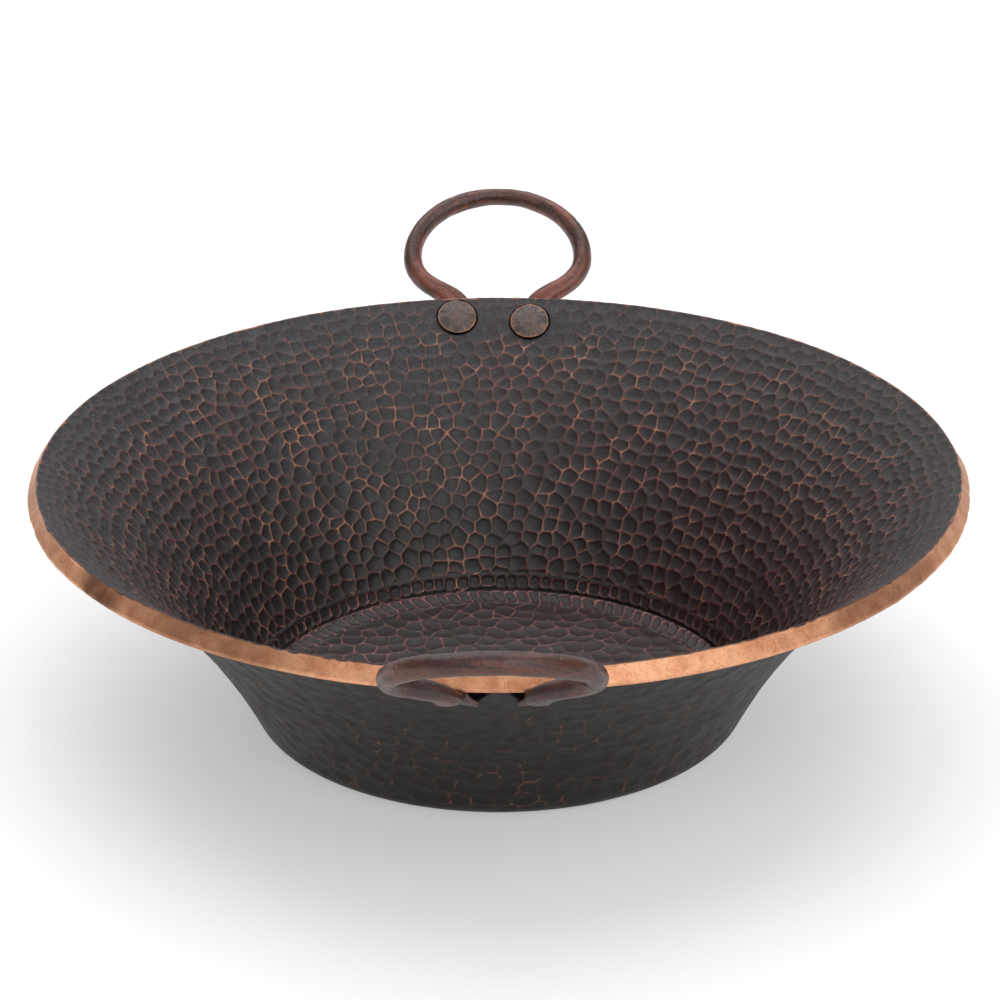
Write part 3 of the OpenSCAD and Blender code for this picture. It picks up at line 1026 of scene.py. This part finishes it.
def hammered_copper():
    f = Finish("hammered_copper")
    ridge, bare, outside = f.mask("ridge"), f.mask("bare"), f.mask("outside")
    groove, tone, low, wear = f.mask("groove"), f.mask("tone"), f.mask("low"), f.mask("wear")
    cloud = f.noise(38, 4, 0.6)
    mottle = f.noise(7, 4, 0.6)
    grain = f.noise(0.9, 3, 0.6)
    speck = f.noise(1.3, 4, 0.75)

    # Dark patina: charcoal with a cool grey bloom towards the rim, partly patina and partly painted sheen,
    # browner low in the bowl and on its right side
    warm = f.span(f.math("ADD", cloud, f.times(low, 0.35)), 0.45, 0.85)
    # painted shade: the wall darker towards the bottom, and hardly on the floor
    lower_wall_shade = f.math("SUBTRACT", f.span(low, 0.2, 0.8, 0.0, 0.95), f.span(low, 1.05, 1.2, 0.0, 0.85))
    patina = f.coats(
        f.blend(warm, srgb(36, 34, 40), srgb(44, 31, 32)),
        (f.span(mottle, 0.35, 0.75, 0.0, 0.6), (26, 22, 24)),
        (f.span(f.noise(60, 2), 0.55, 0.75, 0.0, 0.5), (56, 34, 32)),
        (f.span(tone, -0.3, 0.3, 0.0, 0.4), (22, 20, 22)),
        # painted shade deep on the wall
        (lower_wall_shade, (21, 13, 13)),
        # grey flecks towards the rim, partly patina bloom and partly painted sheen
        (f.times(f.span(speck, 0.46, 0.70), f.span(low, 0.1, 0.7, 0.74, 0.15)), (80, 73, 79)),
        (f.times(f.mask("rust"), f.span(low, 0.1, 0.6, 0.15, 0.6)), (46, 21, 18)),
        (f.span(f.noise(0.8, 3, 0.7), 0.52, 0.66, 0.0, 0.7), (20, 17, 18)),
    )
    # The outside is darker and greener, with fine strokes round it
    strokes = f.noise(1.5, 5, 0.72, place=f.stretched((0.3, 0.3, 1.6)))
    outer = f.blend(f.span(mottle, 0.3, 0.7), srgb(9, 8, 7), srgb(18, 14, 11))
    outer = f.coats(outer, (f.span(strokes, 0.46, 0.66, 0.0, 0.7), (34, 31, 26)))
    patina = f.blend(outside, patina, outer)

    # Copper shows where the ridges between the blows were rubbed, with a reddish edge
    width = f.number(outside, f.span(f.noise(3.5, 3), 0.3, 0.7, 0.25, 0.6), 0.3)
    line = f.span(ridge, width, 0.0)
    patchy = f.times(f.span(f.noise(14, 3, 0.6), 0.34, 0.62, 0.12, 1.0), wear)
    rare = f.times(f.span(f.noise(7, 4, 0.65), 0.42, 0.58), f.span(f.noise(26, 3), 0.38, 0.54))
    patchy = f.number(outside, patchy, f.times(rare, wear))
    rubbed = f.times(line, patchy, clamp=True)
    halo = f.times(f.span(ridge, 1.2, 0.2), f.times(patchy, 0.36), clamp=True)
    rub_tone = f.coats(
        f.blend(f.span(f.noise(17, 4, 0.65), 0.44, 0.62), srgb(130, 82, 70), srgb(190, 132, 104)),
        (f.span(low, 1.05, 1.2, 0.0, 0.7), (150, 104, 98)),
        (outside, (150, 96, 60)),
    )
    colour = f.blend(f.times(rubbed, 0.85), f.coats(patina, (halo, (84, 50, 46))), rub_tone)
    # Painted shade in the crease, round the rivets' heads and beside the handles' feet
    colour = f.coats(colour, (f.times(groove, 0.95), (8, 7, 7)))

    # The lip's bare face: fine grained copper with small pores, and browner patches that are partly real
    # tarnish and partly painted shade
    stain_and_shade = f.times(f.mask("stain_and_shade"), f.span(f.noise(10, 3, 0.6), 0.3, 0.6, 0.8, 1.2), clamp=True)
    pores = f.span(f.noise(1.4, 2, 0.5), 0.68, 0.76)
    copper = f.coats(
        f.blend(f.span(f.noise(9, 4, 0.65), 0.35, 0.72), srgb(232, 172, 132), srgb(206, 138, 100)),
        (f.span(speck, 0.46, 0.68, 0.0, 0.34), (158, 98, 68)),
        (f.span(f.noise(0.8, 3, 0.7), 0.52, 0.68, 0.0, 0.35), (250, 206, 168)),
        (stain_and_shade, (112, 68, 46)),
        (f.times(pores, 0.7), (96, 58, 44)),
    )
    colour = f.blend(bare, colour, copper)

    f.give("Base Color", colour)
    f.give("Metallic", f.math("MAXIMUM", f.times(bare, 0.8), f.times(rubbed, 0.35)))
    # the painted shade is rough and has no reflection
    dull = f.number(groove, f.span(mottle, 0.3, 0.7, 0.42, 0.56), 0.9)
    shine = f.number(outside, 0.5, 0.25)
    f.give("Specular IOR Level", f.number(groove, shine, 0.0))
    f.give("Roughness", f.number(bare, dull, f.span(grain, 0.3, 0.7, 0.42, 0.58)))
    relief = f.math("ADD", f.times(speck, 0.6), f.times(f.noise(2.8, 3), 0.4))
    f.bump(relief, 0.16)
    return f.material


def handle_patina():
    f = Finish("handle_patina")
    run, side, top = f.mask("run"), f.mask("side"), f.mask("top")
    rod = [f.times(side, ROD_W / 2 * MM), f.times(top, ROD_W / 2 * MM)]
    cloud = f.noise(8, 3, 0.6, place=f.vector(f.times(run, 0.30 * MM), *rod))
    streak = f.noise(2.6, 5, 0.68, place=f.vector(f.times(run, 0.16 * MM), *rod))
    rusty = f.noise(2.2, 4, 0.66, place=f.vector(f.times(run, 0.22 * MM), rod[1], rod[0]))
    fine = f.noise(0.9, 4, 0.7)
    pits = f.span(f.noise(2.0, 3, 0.6), 0.62, 0.68)
    # painted shade makes the front handle, whose run starts far beyond the back one's, the darker of the two
    front_shade = f.span(run, 4 * RUN_APART, 6 * RUN_APART, 0.0, 0.55)
    colour = f.coats(
        f.blend(f.span(cloud, 0.36, 0.62), srgb(64, 41, 37), srgb(122, 67, 52)),
        (f.span(rusty, 0.54, 0.68, 0.0, 0.75), (138, 74, 50)),
        (f.span(streak, 0.52, 0.64, 0.0, 0.75), (36, 28, 28)),
        (f.span(fine, 0.52, 0.66, 0.0, 0.5), (124, 92, 83)),
        (front_shade, (36, 23, 22)),
        (f.times(pits, 0.7), (16, 13, 14)),
    )
    f.give("Base Color", colour)
    f.give("Metallic", 0.3)
    f.give("Specular IOR Level", 0.7)
    f.give("Roughness", f.span(streak, 0.3, 0.7, 0.24, 0.38))
    relief = f.math("ADD", f.times(fine, 0.5), f.times(streak, 0.5))
    f.bump(f.math("SUBTRACT", relief, f.times(pits, 0.4)), 0.2)
    return f.material


def rivet_copper():
    f = Finish("rivet_copper")
    facet = f.mask("facet")
    cloud = f.noise(5, 4, 0.62)
    worn = f.times(f.span(f.mask("ridge"), 0.35, 0.0), f.span(f.noise(3, 2), 0.4, 0.65))
    rubbed = f.times(f.span(f.mask("edge"), 0.25, 0.8), f.span(f.noise(4, 3), 0.3, 0.6, 0.35, 1.0))
    colour = f.coats(
        f.blend(f.span(cloud, 0.35, 0.68), srgb(78, 70, 68), srgb(104, 78, 68)),
        (f.span(f.noise(2.2, 4, 0.6), 0.52, 0.72, 0.0, 0.7), (54, 46, 46)),
        (f.times(worn, 0.45), (150, 108, 88)),
        (f.span(facet, 0.1, 1.0, 0.0, 0.6), (44, 38, 38)),
        (f.span(facet, -0.2, -1.0, 0.0, 0.45), (132, 100, 86)),
        (f.times(f.mask("seam"), 0.8), (30, 24, 24)),
        (rubbed, (158, 112, 88)),
    )
    f.give("Base Color", colour)
    f.give("Metallic", f.times(rubbed, 0.5))
    f.give("Roughness", f.span(cloud, 0.3, 0.7, 0.38, 0.5))
    f.bump(f.math("ADD", f.times(f.noise(0.8, 3, 0.6), 0.4), f.times(f.noise(2, 3), 0.6)), 0.12)
    return f.material


# ---- the pieces

def place_piece(piece, node, material):
    piece.data.materials.append(material)
    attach(piece, "root")
    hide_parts(node)


place_piece(build_bowl(), "bowl", hammered_copper())

patina = handle_patina()
back_feet = [RIVETS["rivet_back_left"][:2], RIVETS["rivet_back_right"][:2]]
loop_back = build_handle("loop_back", BACK_SHIFT, *back_feet, front=False, seed=1.0)
place_piece(loop_back, "handle_back", patina)
# The front handle is built at the back and turned round, so left and right swap
front_feet = [(-RIVETS[name][0], RIVETS[name][1]) for name in ("rivet_front_right", "rivet_front_left")]
loop_front = build_handle("loop_front", -FRONT_SHIFT, *front_feet, front=True, seed=9.0)
place_piece(loop_front, "handle_front", patina)

copper = rivet_copper()
for number, (name, (x, down, side)) in enumerate(RIVETS.items()):
    piece = build_rivet(name.replace("rivet", "head"), x, down, side, 21 + number)
    place_piece(piece, name, copper)


# ---- stage

def make_floor():
    finish = Finish("pale_floor")
    tint = finish.blend(finish.noise(400, 2), srgb(222, 222, 222), srgb(226, 226, 226))
    finish.give("Base Color", tint)
    finish.give("Roughness", 0.8)
    finish.give("Specular IOR Level", 0.0)
    finish.give("Emission Color", (1.0, 1.0, 1.0, 1.0))
    finish.give("Emission Strength", 0.35)
    size, sunk = 30000, -0.3
    corners = [[-size, -size, sunk], [size, -size, sunk], [size, size, sunk], [-size, size, sunk]]
    floor = make_object("floor", corners, [[0, 1, 2, 3]], [])
    floor.data.materials.append(finish.material)


def make_light(name, azimuth, rise, spread, strength):
    """A very large soft lamp far away in that direction, spread degrees across."""
    lamp = bpy.data.lights.new(name, "SUN")
    lamp.angle = math.radians(spread)
    lamp.energy = strength
    thing = bpy.data.objects.new(name, lamp)
    bpy.context.scene.collection.objects.link(thing)
    turn, up = math.radians(azimuth), math.radians(rise)
    way = Vector((math.cos(turn) * math.cos(up), math.sin(turn) * math.cos(up), math.sin(up)))
    thing.location = way * 3
    thing.rotation_euler = way.to_track_quat("Z", "Y").to_euler()


def make_world():
    """Soft light from all round: palest at the horizon, where it meets the floor, and dim at both sides."""
    world = bpy.data.worlds.new("studio")
    world.use_nodes = True
    n = Nodes(world.node_tree)
    sky = n.tree.nodes["Background"].inputs
    way = n.add("ShaderNodeSeparateXYZ")
    n.feed(way.inputs[0], n.add("ShaderNodeTexCoord").outputs["Generated"])
    aside, up = n.math("ABSOLUTE", way.outputs["X"]), way.outputs["Z"]
    round_about = n.span(aside, 0.45, 0.85, 0.62, 0.26)
    overhead = n.span(up, 0.5, 0.85, round_about, 0.62)
    n.feed(sky["Strength"], n.span(up, 0.06, 0.14, 0.95, overhead))
    n.feed(sky["Color"], (1.0, 1.0, 1.0, 1.0))
    bpy.context.scene.world = world


def make_camera():
    """The camera of the photograph: above the front handle, looking at the middle of the bowl."""
    distance, rise, roll = 1.951, math.radians(24.03), math.radians(-0.21)
    target = Vector((0.0005, 0.0, 0.09912))
    forward = Vector((0, math.cos(rise), -math.sin(rise)))
    level = Vector((1, 0, 0))
    above = level.cross(forward)
    right = math.cos(roll) * level + math.sin(roll) * above
    up = right.cross(forward)
    data = bpy.data.cameras.new("camera")
    data.lens = 162
    data.sensor_width = 36
    data.clip_end = 100
    camera = bpy.data.objects.new("camera", data)
    bpy.context.scene.collection.objects.link(camera)
    turn = Matrix((right, up, -forward)).transposed().to_4x4()
    camera.matrix_world = Matrix.Translation(target - forward * distance) @ turn
    bpy.context.scene.camera = camera


make_floor()
make_world()
make_light("front_lamp", -60, 34, 62, 0.97)
make_light("top_lamp", 95, 64, 70, 1.35)
make_camera()
bpy.context.scene.view_settings.view_transform = "Standard"
